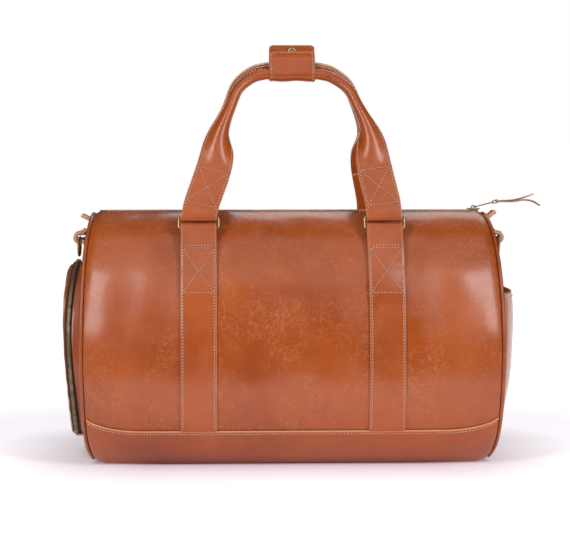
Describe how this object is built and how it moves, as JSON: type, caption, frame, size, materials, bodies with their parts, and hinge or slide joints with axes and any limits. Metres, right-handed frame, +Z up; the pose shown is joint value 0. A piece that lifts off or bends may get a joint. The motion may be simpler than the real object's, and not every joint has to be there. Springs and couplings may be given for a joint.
{
  "type": "travel bag",
  "caption": "Barrel-shaped leather travel bag with rolled handles on metal rings, a full-length top zip, a zipped shoe pocket and a slip pocket on its ends.",
  "frame": {"origin": "middle of the base's underside, on the floor", "axes": "+X along the bag to the right, from the shoe pocket to the slip pocket; +Y to the back; +Z up"},
  "size_m": [0.5529, 0.2666, 0.4763],
  "materials": {
    "front_panel": "semi-gloss",
    "back_panel": "semi-gloss",
    "base_panel": "semi-gloss",
    "left_end_panel": "semi-gloss",
    "right_end_panel": "semi-gloss",
    "left_end_piping": "semi-gloss",
    "right_end_piping": "semi-gloss",
    "lining": "matt",
    "base_board": "matt",
    "main_zip_tape_front": "matt",
    "main_zip_tape_back": "matt",
    "main_zip_teeth_front": "antiqued satin",
    "main_zip_teeth_back": "antiqued satin",
    "zip_end_tab_left": "semi-gloss",
    "zip_end_tab_right": "semi-gloss",
    "front_strap_left": "semi-gloss",
    "front_strap_right": "semi-gloss",
    "back_strap_left": "semi-gloss",
    "back_strap_right": "semi-gloss",
    "pocket_zip_tape_inner": "matt",
    "pocket_zip_tape_outer": "matt",
    "pocket_zip_teeth_inner": "antiqued satin",
    "pocket_zip_teeth_outer": "antiqued satin",
    "shoe_pocket_hinge_strip": "semi-gloss",
    "shoe_pocket_panel": "semi-gloss",
    "slip_pocket": "semi-gloss",
    "strap_tab_left": "semi-gloss",
    "strap_tab_right": "semi-gloss",
    "main_zip_slider": "antiqued satin",
    "main_zip_slider_base": "antiqued satin",
    "main_zip_pull": "antiqued satin",
    "main_zip_thong": "semi-gloss",
    "pocket_zip_slider": "antiqued satin",
    "pocket_zip_slider_base": "antiqued satin",
    "pocket_zip_pull": "antiqued satin",
    "front_ring_left": "antiqued satin",
    "front_ring_right": "antiqued satin",
    "front_handle": "semi-gloss",
    "front_handle_core": "matt",
    "back_ring_left": "antiqued satin",
    "back_ring_right": "antiqued satin",
    "back_handle": "semi-gloss",
    "back_handle_core": "matt",
    "handle_wrap_back": "semi-gloss",
    "snap_socket": "antiqued satin",
    "handle_wrap_flap": "semi-gloss",
    "snap_stud": "antiqued satin",
    "d_ring_left": "antiqued satin",
    "d_ring_right": "antiqued satin"
  },
  "bodies": {
    "bag": {"front_panel": "front_panel", "back_panel": "back_panel", "base_panel": "base_panel", "left_end_panel": "left_end_panel", "right_end_panel": "right_end_panel", "left_end_piping": "left_end_piping", "right_end_piping": "right_end_piping", "lining": "lining", "base_board": "base_board", "main_zip_tape_front": "main_zip_tape_front", "main_zip_tape_back": "main_zip_tape_back", "main_zip_teeth_front": "main_zip_teeth_front", "main_zip_teeth_back": "main_zip_teeth_back", "zip_end_tab_left": "zip_end_tab_left", "zip_end_tab_right": "zip_end_tab_right", "front_strap_left": "front_strap_left", "front_strap_right": "front_strap_right", "back_strap_left": "back_strap_left", "back_strap_right": "back_strap_right", "pocket_zip_tape_inner": "pocket_zip_tape_inner", "pocket_zip_tape_outer": "pocket_zip_tape_outer", "pocket_zip_teeth_inner": "pocket_zip_teeth_inner", "pocket_zip_teeth_outer": "pocket_zip_teeth_outer", "shoe_pocket_hinge_strip": "shoe_pocket_hinge_strip", "shoe_pocket_panel": "shoe_pocket_panel", "slip_pocket": "slip_pocket", "strap_tab_left": "strap_tab_left", "strap_tab_right": "strap_tab_right"},
    "main_slider": {"main_zip_slider": "main_zip_slider", "main_zip_slider_base": "main_zip_slider_base"},
    "main_pull": {"main_zip_pull": "main_zip_pull", "main_zip_thong": "main_zip_thong"},
    "pocket_slider": {"pocket_zip_slider": "pocket_zip_slider", "pocket_zip_slider_base": "pocket_zip_slider_base"},
    "pocket_pull": {"pocket_zip_pull": "pocket_zip_pull"},
    "front_rings": {"front_ring_left": "front_ring_left", "front_ring_right": "front_ring_right"},
    "front_handle": {"front_handle": "front_handle", "front_handle_core": "front_handle_core"},
    "back_rings": {"back_ring_left": "back_ring_left", "back_ring_right": "back_ring_right"},
    "back_handle": {"back_handle": "back_handle", "back_handle_core": "back_handle_core", "handle_wrap_back": "handle_wrap_back", "snap_socket": "snap_socket"},
    "wrap_flap": {"handle_wrap_flap": "handle_wrap_flap", "snap_stud": "snap_stud"},
    "left_strap_ring": {"d_ring_left": "d_ring_left"},
    "right_strap_ring": {"d_ring_right": "d_ring_right"}
  },
  "joints": [
    {"name": "main_zip_slide", "type": "slide", "parent": "bag", "child": "main_slider", "axis": [-1, 0, 0], "range_m": [0, 0.42]},
    {"name": "main_pull_swing", "type": "hinge", "parent": "main_slider", "child": "main_pull", "pos_m": [0.216, 0, 0.28788], "axis": [0, -1, 0], "range_deg": [0, 145]},
    {"name": "pocket_zip_slide", "type": "hinge", "parent": "bag", "child": "pocket_slider", "pos_m": [-0.2449, 0, 0.1235], "axis": [1, 0, 0], "range_deg": [0, 120]},
    {"name": "pocket_pull_swing", "type": "hinge", "parent": "pocket_slider", "child": "pocket_pull", "pos_m": [-0.2449, 0.0605, 0.03501], "axis": [1, 0, 0], "range_deg": [0, 145]},
    {"name": "front_ring_swing", "type": "hinge", "parent": "bag", "child": "front_rings", "pos_m": [0, -0.07968, 0.26647], "axis": [1, 0, 0], "range_deg": [0, 90]},
    {"name": "front_handle_swing", "type": "hinge", "parent": "front_rings", "child": "front_handle", "pos_m": [0, -0.07482, 0.27853], "axis": [1, 0, 0], "range_deg": [0, 60]},
    {"name": "back_ring_swing", "type": "hinge", "parent": "bag", "child": "back_rings", "pos_m": [0, 0.07968, 0.26647], "axis": [-1, 0, 0], "range_deg": [0, 90]},
    {"name": "back_handle_swing", "type": "hinge", "parent": "back_rings", "child": "back_handle", "pos_m": [0, 0.07487, 0.27855], "axis": [-1, 0, 0], "range_deg": [0, 60]},
    {"name": "wrap_open", "type": "hinge", "parent": "back_handle", "child": "wrap_flap", "pos_m": [0, -0.00531, 0.43558], "axis": [1, 0, 0], "range_deg": [0, 100], "deforming": ["handle_wrap_flap"]},
    {"name": "left_strap_ring_swing", "type": "hinge", "parent": "bag", "child": "left_strap_ring", "pos_m": [-0.24392, 0, 0.2525], "axis": [0, 1, 0], "range_deg": [0, 100]},
    {"name": "right_strap_ring_swing", "type": "hinge", "parent": "bag", "child": "right_strap_ring", "pos_m": [0.24392, 0, 0.2525], "axis": [0, -1, 0], "range_deg": [0, 100]}
  ]
}
